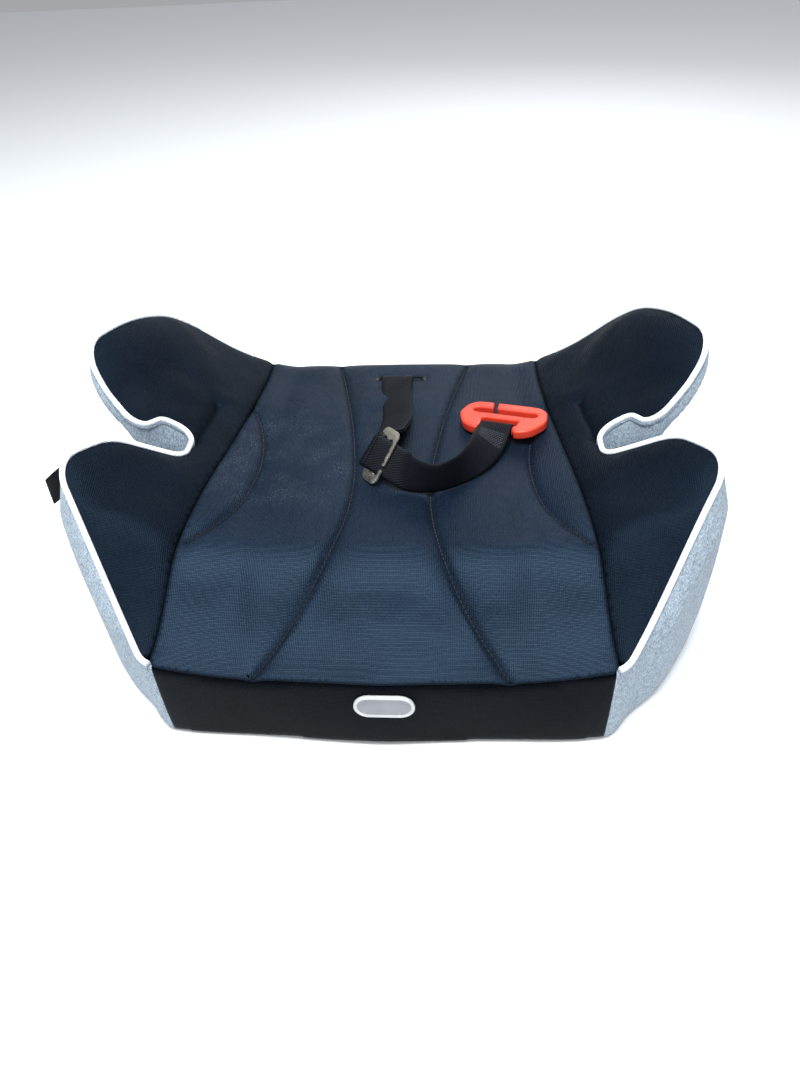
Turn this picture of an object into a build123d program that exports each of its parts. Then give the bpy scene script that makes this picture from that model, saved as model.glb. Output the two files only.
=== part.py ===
from build123d import *
import math
import os

# Backless booster seat for a child: a blow-moulded plastic hull, a foam pad and a sewn cover,
# with two lap-belt horns at the back and a shoulder-belt guide strap that ends in a red clip.
# Frame: X to the sitter's left (right in a front view), Y to the back, +Z up, origin on the
# floor under the middle of the seat. Millimetres.

# ---- driving dimensions -------------------------------------------------------------------
SEAT_HEIGHT = 94.0          # seat surface above the floor
FRONT_DROP = 33.1           # how far the seat rolls down at its front edge
FRONT_ROLL = (-169.2, -89.3)    # where that roll starts and ends along Y
REAR_DROP = 3.8             # slight fall towards the back edge
REAR_FALL = (56.4, 169.2)
WING_START = 89.3           # |x| at which the sides begin to rise
WING_SPAN = 108.1           # distance over which they reach their full rise
WING_POWER = 1.45
RISE_FRONT = 22.8           # rise of the sides at the front,
RISE_LOBE = 38.4            # more of it at the thigh lobes,
RISE_HORN = 22.7            # and more again at the horns
LOBE_ZONE = (-159.8, -18.8)
HORN_ZONE = (-9.4, 103.4)

COVER = 2.5                 # sewn cover on top: fabric with its laminated wadding
SKIRT = 3.5                 # cover on the walls, as thick as the piping that caps it
FOAM = 10.0                 # foam pad between cover and hull
HULL_WALL = 3.0             # wall of the blow-moulded hull
HEM = 2.4                   # elastic hem that turns under the hull
HEM_WIDTH = 20.0
HORN_ROOT = 45.0            # depth of a horn where it leaves the body
HORN_TIP = 20.0             # depth of a horn at its free edge
HORN_X = 141.0              # |x| of the body wall under the horns
HORN_TAPER = 50.0

SLOT_X = -1.0               # buttonhole that the guide strap comes out of
SLOT_Y = 120.0
SLOT_LENGTH = 33.0
SLOT_WIDTH = 3.6
WEBBING = 25.0              # width of the guide strap
STRAP_X = -3.5              # the strap leaves the buttonhole a little left of its middle
PLY = 1.3                   # thickness of one layer of webbing
STRAP_LIFT = 2.6            # height of the bend at the buttonhole above the cover
BAR_RADIUS = 2.5            # steel bar that the strap is looped round inside the hull
BAR_DEPTH = 30.0            # how far the bar lies below the seat surface

BADGE_LENGTH = 37.0
BADGE_HEIGHT = 19.0
BADGE_THICKNESS = 1.8
BADGE_CENTRE = (2.0, 41.5)

SLIDER_LENGTH = 38.0        # outer size of the three-bar slider
SLIDER_WIDTH = 20.0
SLIDER_BAR = 2.8
SLIDER_THICKNESS = 1.4
SLIDER_TILT = 30.0          # turn of the slider against the webbing that threads it
SLIDER_OFFSET = 2.12        # its middle bar lies this far under the webbing

CLIP_LENGTH = 68.0          # belt clip: a D with a split rear bar
CLIP_DEPTH = 36.0
CLIP_THICKNESS = 7.0
BELT_SLOT = (50.0, 6.5)     # the slot that takes the car's shoulder belt
STRAP_SLOT = (28.0, 5.0)    # the slot behind the bow that takes the webbing
BOW_V = -12.5               # middle line of the bow bar
BOW_RADIUS = 3.5
CLIP_GAP = 3.0              # split in the rear bar that the belt is slipped in through

TOP = 400.0                 # height or depth that is certainly clear of the seat

os.makedirs("parts", exist_ok=True)


# ---- the top surface ----------------------------------------------------------------------
def ease(start, end, value):
    t = min(max((value - start) / (end - start), 0.0), 1.0)
    return t * t * (3.0 - 2.0 * t)


def seat_z(x, y):
    """Height of the cover: a dished seat with a rolled front edge and rising sides."""
    seat = SEAT_HEIGHT - FRONT_DROP * (1.0 - ease(*FRONT_ROLL, y)) - REAR_DROP * ease(*REAR_FALL, y)
    rise = RISE_FRONT + RISE_LOBE * ease(*LOBE_ZONE, y) + RISE_HORN * ease(*HORN_ZONE, y)
    reach = min(max((abs(x) - WING_START) / WING_SPAN, 0.0), 1.3)
    return seat + rise * reach ** WING_POWER


def horn_floor_z(x, y):
    """Height of the underside of the horns, which thin out towards their free edges."""
    depth = HORN_ROOT + (HORN_TIP - HORN_ROOT) * ease(HORN_X, HORN_X + HORN_TAPER, abs(x))
    return seat_z(x, y) - depth


def height_face(height, lift, x_range, y_range, step=9.0):
    """A smooth face through a grid of heights, wider than the part it will cut."""
    columns = int(round((x_range[1] - x_range[0]) / step))
    rows = int(round((y_range[1] - y_range[0]) / step))
    grid = []
    for i in range(columns + 1):
        x = x_range[0] + (x_range[1] - x_range[0]) * i / columns
        line = []
        for j in range(rows + 1):
            y = y_range[0] + (y_range[1] - y_range[0]) * j / rows
            line.append((x, y, height(x, y) + lift))
        grid.append(line)
    return Face.make_surface_from_array_of_points(grid, tol=0.02, min_deg=3, max_deg=5)


HALF_X = (-9.0, 225.0)
FULL_Y = (-198.0, 171.0)


def below(lift):
    """Everything on the right half under the seat surface moved up by lift."""
    face = height_face(seat_z, lift, HALF_X, FULL_Y)
    return Solid.extrude(face, Vector(0, 0, -TOP))


def layer(low, high):
    """A sheet of the right half between two copies of the seat surface."""
    face = height_face(seat_z, low, HALF_X, FULL_Y)
    return Solid.extrude(face, Vector(0, 0, high - low))


def over_horn_floor(lift):
    face = height_face(horn_floor_z, lift, (120.0, 225.0), (-40.0, 171.0))
    return Solid.extrude(face, Vector(0, 0, TOP))


# ---- outlines, all of the right half ------------------------------------------------------
def half_outline(points):
    """A region from corner points (x, y, fillet radius), closed along the Y axis."""
    first = points[0]
    last = points[-1]
    corners = [(first[0], first[1])] + [(x, y) for x, y, r in points[1:-1]] + [(last[0], last[1])]
    radii = [r for x, y, r in points[1:-1]]
    mirrored = [(-x, y) for x, y in reversed(corners)]
    ring = corners[1:-1] + mirrored[1:-1]
    line = FilletPolyline(*ring, radius=radii + radii[::-1], close=True)
    return make_face(line)


LOBE = [
    (0, -172, 0),
    (141, -166, 14),        # front corner
    (204, -73, 22),         # widest point of the thigh lobe
    (181, -38, 30),
    (141, -24, 13),         # inner end of the belt notch
]
REAR = [
    (88, 146, 60),
    (0, 147, 0),
]
HORN = [
    (141, 8, 13),
    (163, 7, 8),            # under the horn
    (174, -16, 7),          # tip of the horn
    (208, 27, 32),
    (172, 119, 30),
    (136, 128, 40),
]
full_outline = half_outline(LOBE + HORN + REAR)
base_outline = half_outline(LOBE + [(140, 126.5, 20)] + REAR)

right_side = Pos(TOP / 2, 0) * Rectangle(TOP, 2 * TOP)


def right_of(outline):
    return outline & right_side


def grown(outline, amount):
    return offset(outline, amount=amount)


full = right_of(full_outline)
full_skirt = right_of(grown(full_outline, SKIRT))
base = right_of(base_outline)
base_skirt = right_of(grown(base_outline, SKIRT))
horn_zone = Pos(186.0, 75.0) * Rectangle(120.0, 188.0)

# side seam between the centre panel and the side panel of the cover
seam = Spline((143, -190), (132, -103), (120, 5), (112, 75), (114, 165))
side_zone = make_face(seam + Polyline((114, 165), (300, 165), (300, -190), (143, -190)))


def column(region, low, high):
    return Pos(0, 0, low) * extrude(region, high - low)


def whole(right_half):
    """Both halves as one solid."""
    both = right_half + mirror(right_half, about=Plane.YZ)
    return both


def write(part, name):
    solids = part.solids()
    shape = solids[0] if len(solids) == 1 else Compound(solids)
    shape.label = name
    export_step(shape, "parts/" + name + ".step")


def both_sides(part, name):
    write(part, name + "_right")
    write(mirror(part, about=Plane.YZ), name + "_left")


# ---- blocks that every cut is made from ---------------------------------------------------
cover_layer = layer(-COVER, 0.0)
foam_layer = layer(-COVER - FOAM, -COVER)
hull_top = below(-COVER - FOAM)
hollow_top = below(-COVER - FOAM - HULL_WALL)
skirt_top = below(-SKIRT + 0.4)
horn_block = over_horn_floor(0.0)
horn_inner = over_horn_floor(COVER)
horn_hollow = over_horn_floor(COVER + HULL_WALL)

# ---- strap slot and its pocket ------------------------------------------------------------
slot_top = seat_z(0, SLOT_Y)
bar_z = slot_top - BAR_DEPTH
slot_cut = Pos(SLOT_X, SLOT_Y, slot_top - 20) * Box(SLOT_LENGTH, SLOT_WIDTH, 60)
pocket = Pos(SLOT_X, SLOT_Y, bar_z + 2) * Box(SLOT_LENGTH + 1, 15, 23)
pocket_block = Pos(SLOT_X, SLOT_Y, bar_z + 3) * Box(SLOT_LENGTH + 9, 21, 31)
bar = Pos(SLOT_X, SLOT_Y, bar_z) * Rot(0, 90, 0) * Cylinder(BAR_RADIUS, SLOT_LENGTH + 7)

# ---- hull ---------------------------------------------------------------------------------
hull_body = column(base, HEM, TOP) & hull_top
# the underside is level with the hem, which lies in a step round its edge
hull_sole = column(right_of(grown(base_outline, SKIRT - HEM_WIDTH - 1.0)), 0, HEM)
hull_horn = column(full & horn_zone, HEM, TOP) & horn_inner & hull_top
hollow_body = column(right_of(grown(base_outline, -HULL_WALL)), HEM + HULL_WALL, TOP) & hollow_top
hollow_horn = column(right_of(grown(full_outline, -HULL_WALL)) & horn_zone, HEM, TOP)
hollow_horn = hollow_horn & horn_hollow & hollow_top
hull = whole(hull_body + hull_horn + hull_sole) - whole(hollow_body + hollow_horn)
hull_roof = whole(hull_top)
hull = hull + (pocket_block & hull_roof)
hull = hull - pocket - slot_cut - bar


def hook_places():
    """Points round the underside where the hem is hooked to the hull, with their turn."""
    places = []
    for x in (-70, 70):
        places.append((x, -149, 0))
        places.append((x, 122, 180))
    for side in (-1, 1):
        places.append((side * 170, -72, side * 90))
        places.append((side * 117, 60, side * 90))
    return places


def hook_pocket():
    tab_room = Pos(0, -1, 0) * Box(18, 16, 2 * HEM)
    tongue_room = Pos(0, 2, HEM + 2.5) * Box(18, 8, 5)
    return tab_room + tongue_room


def hem_hook():
    """A moulded J: a tab sewn to the hem, and a tongue that turns up into the hull."""
    tab = Pos(0, -3, HEM / 2) * Box(16, 10, HEM)
    tongue = Pos(0, 2, HEM + 2.0) * Box(16, 3, 4)
    foot = Pos(0, 2, HEM / 2) * Box(16, 3, HEM)
    return tab + foot + tongue


for x, y, turn in hook_places():
    hull = hull - Pos(x, y, 0) * Rot(0, 0, turn) * hook_pocket()
write(hull, "hull")

hooks = [Pos(x, y, 0) * Rot(0, 0, turn) * hem_hook() for x, y, turn in hook_places()]
write(Compound([h.solids()[0] for h in hooks]), "hem_hooks")

write(bar, "strap_anchor_bar")

# ---- foam pads ----------------------------------------------------------------------------
seat_foam = column(base - side_zone, 0, TOP) & foam_layer
seat_foam = whole(seat_foam) - slot_cut
write(seat_foam, "seat_foam")
side_foam = (column(full & side_zone, 0, TOP) & foam_layer)
both_sides(side_foam, "side_foam")

# ---- cover: top panels --------------------------------------------------------------------
seat_panel = column(full - side_zone, 0, TOP) & cover_layer
seat_panel = whole(seat_panel) - slot_cut
write(seat_panel, "cover_seat_panel")
side_panel = column(full & side_zone, 0, TOP) & cover_layer
both_sides(side_panel, "cover_side_panel")

# ---- cover: walls -------------------------------------------------------------------------
FRONT_X = 137.0             # where the black front panel meets the grey side bands
REAR_X = 124.0              # and where the black rear panel does
front_zone = Pos(FRONT_X / 2, -150) * Rectangle(FRONT_X, 60)
rear_zone = Pos(REAR_X / 2, 140) * Rectangle(REAR_X, 60)
ends = front_zone + rear_zone

wall_ring = base_skirt - base
front_panel = column(wall_ring & front_zone, HEM, TOP) & below(0.0)
write(whole(front_panel), "cover_front_panel")
rear_panel = column(wall_ring & rear_zone, HEM, TOP) & below(0.0)
write(whole(rear_panel), "cover_rear_panel")

band_wall = column(wall_ring - ends, HEM, TOP) & skirt_top
horn_ring = (full_skirt - full) & horn_zone
band_horn = column(horn_ring - ends, 0, TOP) & horn_block & skirt_top
band_under = column((full & horn_zone) - base_skirt, 0, TOP) & horn_block
band_under = band_under - horn_inner
# the wall under a horn runs up beside the cover of its underside, and stops level with it
horn_above = column(full & horn_zone, 0, TOP) & horn_inner
band = (band_wall - horn_above) + band_horn + band_under
both_sides(band, "side_band")

# ---- piping -------------------------------------------------------------------------------
piping_ring = (full_skirt - full) - ends
piping = column(piping_ring, 0, TOP) & layer(-SKIRT + 0.4, 0.4)
both_sides(piping, "piping")

# ---- hem ----------------------------------------------------------------------------------
hem_ring = grown(base_outline, SKIRT) - grown(base_outline, SKIRT - HEM_WIDTH)
hem = extrude(hem_ring, HEM)
for hook in hooks:
    hem = hem - hook
write(hem, "hem_elastic")

# ---- badge and side label -----------------------------------------------------------------
badge_face = SlotOverall(BADGE_LENGTH, BADGE_HEIGHT)
front_y = -172.0 - SKIRT
badge_plane = Plane(origin=(BADGE_CENTRE[0], front_y + 0.1, BADGE_CENTRE[1]), x_dir=(1, 0, 0),
                    z_dir=(0, -1, 0))
badge = extrude(badge_plane * badge_face, BADGE_THICKNESS)
badge = badge - whole(front_panel)
write(badge, "badge")

label = Pos(-210.5, -62, 128) * Rot(0, 12, 0) * Box(17, 1.6, 20)
label = label - mirror(band, about=Plane.YZ)
write(label, "side_label")

# ---- slot binding -------------------------------------------------------------------------
binding_ring = Rectangle(SLOT_LENGTH + 6, SLOT_WIDTH + 5) - Rectangle(SLOT_LENGTH, SLOT_WIDTH)
binding = Pos(SLOT_X, SLOT_Y, 0) * extrude(binding_ring, TOP)
binding = binding & whole(layer(0.0, 0.8))
write(binding, "slot_binding")


# ---- guide strap: the part that stays in the hull ------------------------------------------
EYE_IN = BAR_RADIUS + 0.05
eye_out = EYE_IN + PLY
neck_top = slot_top + 0.5
root_face = Circle(eye_out) + make_face(Polyline(
    (-eye_out * 0.98, 0.8),
    (-PLY, 11),
    (-PLY, neck_top - bar_z),
    (PLY, neck_top - bar_z),
    (PLY, 11),
    (eye_out * 0.98, 0.8),
    close=True,
))
root_face = root_face - Circle(EYE_IN)
root_plane = Plane(origin=(STRAP_X - WEBBING / 2, SLOT_Y, bar_z), x_dir=(0, 1, 0), z_dir=(1, 0, 0))
strap_root = extrude(root_plane * root_face, WEBBING)
write(strap_root, "strap_root")


# ---- guide strap: the free part, threaded through the slider -------------------------------
def unit(vector):
    return vector * (1.0 / vector.length)


SLIDER_POINT = Vector(-8.0, -18.0, 112.4)       # middle of the webbing inside the slider
THREAD_RUN = Vector(0.8282, -0.5197, -0.2095)   # the way the webbing runs through it
ACROSS = Vector(0.475, 0.4525, 0.755)           # and the way its width lies
thread = Plane(origin=SLIDER_POINT, x_dir=THREAD_RUN, z_dir=THREAD_RUN.cross(ACROSS))
THREAD_BACK = -13.0
THREAD_FRONT = 16.0


def ribbon(low_edge, high_edge, start_run, end_run, thickness):
    """Webbing between two edge curves, as thick as its layers."""
    low = Spline(*low_edge, tangents=(start_run, end_run))
    high = Spline(*high_edge, tangents=(start_run, end_run))
    face = Face.make_surface_from_curves(low.edge(), high.edge())
    return Solid.thicken(face, thickness / 2) + Solid.thicken(face, -thickness / 2)


bend_z = slot_top + STRAP_LIFT
strap_left = STRAP_X - WEBBING / 2
strap_right = STRAP_X + WEBBING / 2
thread_back_low = thread.from_local_coords((THREAD_BACK, -WEBBING / 2, 0))
thread_back_high = thread.from_local_coords((THREAD_BACK, WEBBING / 2, 0))
thread_front_low = thread.from_local_coords((THREAD_FRONT, -WEBBING / 2, 0))
thread_front_high = thread.from_local_coords((THREAD_FRONT, WEBBING / 2, 0))

loop_low = [
    (strap_left, SLOT_Y + 1.2, bend_z),
    (-14.5, 94, 95.0),
    (-12.5, 70, 96.0),
    (-11, 50, 96.8),
    (-14, 28, 99.0),
    (-20, 4, 102.5),
    thread_back_low,
]
loop_high = [
    (strap_right, SLOT_Y + 1.2, bend_z),
    (9.7, 92, 96.5),
    (11, 66, 99.5),
    (12, 44, 103.5),
    (8, 22, 111.0),
    (-2, 4, 119.0),
    thread_back_high,
]
# two layers from the buttonhole to the slider, one from there to the clip
strap_loop = ribbon(loop_low, loop_high, (0, -1, 0), THREAD_RUN, 2 * PLY)
write(strap_loop, "strap_loop")

# ---- belt clip: placed by its middle, flat on the seat with its right end a little up ------
CLIP_POINT = Vector(79.0, 40.5, 102.1)
CLIP_ALONG = unit(Vector(0.926, -0.368, 0.088))
CLIP_BACK = unit(Vector(0.37, 0.93, 0.0))
clip_plane = Plane(origin=CLIP_POINT, x_dir=CLIP_ALONG, z_dir=CLIP_ALONG.cross(CLIP_BACK))

# the tail stands on its lower edge round the bend, and lies down again towards the clip
eye_top = BOW_RADIUS + 0.1 + PLY / 2
SEWN_STEP = 0.3             # the sewn end lies on the loop, this much proud of it
SEWN_V = BOW_V + 1.0
tail_low = [
    thread_front_low,
    (8, -36.5, 96.8),
    (18, -38.5, 96.0),
    (30, -38, 96.0),
    (45, -32, 96.0),
    (58, -22.5, 96.2),
    (71, -8, 97.4),
    (79.3, 7, 100.5),
    clip_plane.from_local_coords((WEBBING / 2, SEWN_V, eye_top + SEWN_STEP)),
]
tail_high = [
    thread_front_high,
    (17, -30, 119.0),
    (22, -36, 120.2),
    (30, -39.5, 120.6),
    (39.5, -35.5, 120.2),
    (47.7, -23, 118.2),
    (53.5, -3, 114.0),
    (57.5, 14.5, 110.6),
    clip_plane.from_local_coords((-WEBBING / 2, SEWN_V, eye_top + SEWN_STEP)),
]
thread_middle = Pos((THREAD_FRONT + THREAD_BACK) / 2, 0, 0)
threaded = thread * (thread_middle * Box(THREAD_FRONT - THREAD_BACK, WEBBING, PLY))
strap_tail = ribbon(tail_low, tail_high, THREAD_RUN, CLIP_BACK, PLY)
eye_ring = Circle(BOW_RADIUS + 0.1 + PLY) - Circle(BOW_RADIUS + 0.1)
eye_plane = clip_plane * Plane(origin=(-WEBBING / 2, BOW_V, 0), x_dir=(0, 1, 0), z_dir=(1, 0, 0))
strap_eye = extrude(eye_plane * eye_ring, WEBBING)
strap_tail = strap_tail + threaded + strap_eye
write(strap_tail, "strap_tail")


# ---- slider -------------------------------------------------------------------------------
def slider_shape():
    plate = RectangleRounded(SLIDER_WIDTH, SLIDER_LENGTH, 3.0)
    window = (SLIDER_WIDTH - 3 * SLIDER_BAR) / 2
    for side in (-1, 1):
        place = side * (SLIDER_BAR + window) / 2
        plate = plate - Pos(place, 0) * Rectangle(window, SLIDER_LENGTH - 2 * SLIDER_BAR)
    # the front bar is cut near its lower end, so that webbing can be slipped in
    gap = Pos((SLIDER_WIDTH - SLIDER_BAR) / 2, -6.5) * Rectangle(SLIDER_BAR + 1, 3.2)
    plate = plate - gap
    return extrude(plate, SLIDER_THICKNESS / 2, both=True)


slider_place = thread * Plane(
    origin=(0, 0, -SLIDER_OFFSET),
    x_dir=(math.cos(math.radians(SLIDER_TILT)), 0, math.sin(math.radians(SLIDER_TILT))),
    z_dir=(-math.sin(math.radians(SLIDER_TILT)), 0, math.cos(math.radians(SLIDER_TILT))),
)
slider = slider_place * slider_shape()
write(slider, "strap_slider")


# ---- belt clip ----------------------------------------------------------------------------
def clip_outline():
    half_length = CLIP_LENGTH / 2
    half_depth = CLIP_DEPTH / 2
    points = [
        (-half_length + 3, half_depth),
        (half_length - 3, half_depth),
        (half_length, -2),
        (half_length * 0.62, -half_depth),
        (-half_length * 0.62, -half_depth),
        (-half_length, -2),
    ]
    line = FilletPolyline(*points, radius=[9, 9, 11, 12, 12, 11], close=True)
    return make_face(line)


def clip_shape():
    outline = clip_outline()
    body = extrude(outline, CLIP_THICKNESS / 2, both=True)
    rim = body.edges().group_by(Axis.Z)[-1] + body.edges().group_by(Axis.Z)[0]
    body = fillet(rim, 2.4)
    belt = Pos(0, 6.4) * SlotOverall(*BELT_SLOT)
    strap = Pos(0, BOW_V + BOW_RADIUS + 0.1 + PLY + 0.6 + STRAP_SLOT[1] / 2 - 1.0)
    strap = strap * RectangleRounded(*STRAP_SLOT, 1.5)
    body = body - extrude(belt, 20, both=True) - extrude(strap, 20, both=True)
    # in front of the webbing slot the bow is turned down to a round bar
    relief = Box(STRAP_SLOT[0], 2 * BOW_RADIUS + 4, 20)
    relief = Pos(0, BOW_V - 1, 0) * relief
    round_bar = Pos(0, BOW_V, 0) * Rot(0, 90, 0) * Cylinder(BOW_RADIUS, STRAP_SLOT[0])
    body = body - relief + round_bar
    # the rear bar is split at a slant
    split = Pos(-10, CLIP_DEPTH / 2 - 3, 0) * Rot(0, 0, 12) * Box(CLIP_GAP, 14, 20)
    body = body - split
    for x in (-19, 16):
        body = body - Pos(x, 1.0, 0) * Cylinder(0.9, 20)
    return body


clip = clip_plane * clip_shape()
write(clip, "belt_clip")
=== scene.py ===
import math

import bmesh
import bpy
import numpy as np
from mathutils import Matrix, Vector
from mathutils.geometry import delaunay_2d_cdt


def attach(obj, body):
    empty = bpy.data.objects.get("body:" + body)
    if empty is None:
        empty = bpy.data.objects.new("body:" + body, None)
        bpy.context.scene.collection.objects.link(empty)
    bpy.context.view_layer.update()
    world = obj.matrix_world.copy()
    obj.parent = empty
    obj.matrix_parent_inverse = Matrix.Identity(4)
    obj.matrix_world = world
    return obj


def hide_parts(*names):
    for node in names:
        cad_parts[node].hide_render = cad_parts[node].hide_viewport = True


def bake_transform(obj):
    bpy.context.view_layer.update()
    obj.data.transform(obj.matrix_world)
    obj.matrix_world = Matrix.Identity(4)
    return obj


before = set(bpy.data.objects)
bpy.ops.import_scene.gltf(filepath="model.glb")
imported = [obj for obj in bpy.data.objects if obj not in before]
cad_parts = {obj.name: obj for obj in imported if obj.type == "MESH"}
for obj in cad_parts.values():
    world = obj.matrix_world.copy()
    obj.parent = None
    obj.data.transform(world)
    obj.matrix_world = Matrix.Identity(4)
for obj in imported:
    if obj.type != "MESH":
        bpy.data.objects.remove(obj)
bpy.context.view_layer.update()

# Lengths in this file are millimetres until a mesh is made, like the part's own dimensions.
MM = 0.001

# ---- driving dimensions, the same as the part's ---------------------------------------------
SEAT_HEIGHT = 94.0
FRONT_DROP = 33.1
FRONT_ROLL = (-169.2, -89.3)
REAR_DROP = 3.8
REAR_FALL = (56.4, 169.2)
WING_START = 89.3
WING_SPAN = 108.1
WING_POWER = 1.45
RISE_FRONT = 22.8
RISE_LOBE = 38.4
RISE_HORN = 22.7
LOBE_ZONE = (-159.8, -18.8)
HORN_ZONE = (-9.4, 103.4)
SKIRT = 3.5
HORN_ROOT = 45.0
HORN_TIP = 20.0
HORN_X = 141.0
HORN_TAPER = 50.0
SLOT_X = -1.0
SLOT_Y = 120.0
SLOT_LENGTH = 33.0
STRAP_X = -3.5
WEBBING = 25.0
PLY = 1.3
FRONT_X = 137.0
REAR_X = 124.0

SEAM_DIP = 1.4          # seams lie this far below the surface of the pad
QUILT_DIP = 2.0         # and quilting lines this far
PAD_RISE = 5.0          # the most that the stuffing may lift the cover between seams
LOBE_SWELL = 8.0        # how far the walls stand out at the thigh lobes
HORN_SWELL = 7.5        # and hang over at the horns
CORNER_TUCK = 1.5       # and draw in at the foot of the front corners
HORN_FLARE = 5.0        # how far the cover stands out from the pad at the horns
TUCK = 2.2              # the top panels reach this far past the outline, under the piping
COVER_CLOTH = 0.9       # thickness of the knitted top panels
WALL_CLOTH = 1.6        # and of the wall panels, which are lined
WALL_SINK = 1.5         # the walls end this far below the surface of the pad
WALL_VOXEL = 3.2        # the walls are rounded at this grain
PIPING_RADIUS = 1.85
PIPING_OUT = 1.7        # the piping's middle stands this far outside the outline
PIPING_SINK = 0.6       # and this far below the surface of the pad
ROLL_RADIUS = 1.9       # the band's seam allowance, rolled up under the piping
ROLL_DROP = 2.6
OUTLINE_STEP = 3.5      # distance between the points of an outline
CLOTH_FRAMES = 20       # frames of the cloth simulation


def ease(start, end, value):
    t = np.clip((value - start) / (end - start), 0.0, 1.0)
    return t * t * (3.0 - 2.0 * t)


def seat_z(x, y):
    seat = SEAT_HEIGHT - FRONT_DROP * (1.0 - ease(*FRONT_ROLL, y)) - REAR_DROP * ease(*REAR_FALL, y)
    rise = RISE_FRONT + RISE_LOBE * ease(*LOBE_ZONE, y) + RISE_HORN * ease(*HORN_ZONE, y)
    reach = np.clip((np.abs(x) - WING_START) / WING_SPAN, 0.0, 1.3)
    return seat + rise * reach ** WING_POWER


def horn_floor_z(x, y):
    depth = HORN_ROOT + (HORN_TIP - HORN_ROOT) * ease(HORN_X, HORN_X + HORN_TAPER, np.abs(x))
    return seat_z(x, y) - depth


# ---- camera and light -----------------------------------------------------------------------
def aim_camera(place, pitch, yaw, roll, lens):
    pitch, yaw, roll = math.radians(pitch), math.radians(yaw), math.radians(roll)
    ahead = Vector((math.sin(yaw) * math.cos(pitch), math.cos(yaw) * math.cos(pitch), -math.sin(pitch)))
    level = Vector((math.cos(yaw), -math.sin(yaw), 0.0))
    upright = level.cross(ahead)
    right = level * math.cos(roll) + upright * math.sin(roll)
    up = right.cross(ahead)
    data = bpy.data.cameras.new("camera")
    data.sensor_fit = "VERTICAL"
    data.sensor_height = 36.0
    data.lens = lens
    data.clip_start = 0.01
    camera = bpy.data.objects.new("camera", data)
    turn = Matrix((right, up, -ahead)).transposed().to_4x4()
    camera.matrix_world = Matrix.Translation(place) @ turn
    bpy.context.scene.collection.objects.link(camera)
    bpy.context.scene.camera = camera


aim_camera(Vector((0.044, -0.4667, 0.4324)), 40.98, -5.21, -3.3, 27.0)


def area_light(name, place, target, size, watts, colour=(1.0, 1.0, 1.0)):
    data = bpy.data.lights.new(name, "AREA")
    data.shape = "DISK"
    data.size = size
    data.energy = watts
    data.color = colour
    light = bpy.data.objects.new(name, data)
    light.location = place
    light.rotation_euler = (Vector(target) - Vector(place)).to_track_quat("-Z", "Y").to_euler()
    bpy.context.scene.collection.objects.link(light)


area_light("overhead", (-0.1, -0.35, 1.6), (0, 0, 0.1), 0.8, 40.0, (0.96, 0.98, 1.0))
area_light("front_fill", (0.2, -1.3, 1.5), (0, -0.05, 0.08), 0.8, 9.0)
area_light("back_rim", (0.3, 1.3, 0.9), (0, 0, 0.12), 0.8, 4.0)

world = bpy.data.worlds.new("studio")
world.use_nodes = True
world.node_tree.nodes["Background"].inputs["Color"].default_value = (0.93, 0.96, 1.0, 1.0)
world.node_tree.nodes["Background"].inputs["Strength"].default_value = 0.4
bpy.context.scene.world = world
bpy.context.scene.view_settings.view_transform = "Standard"


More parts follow.
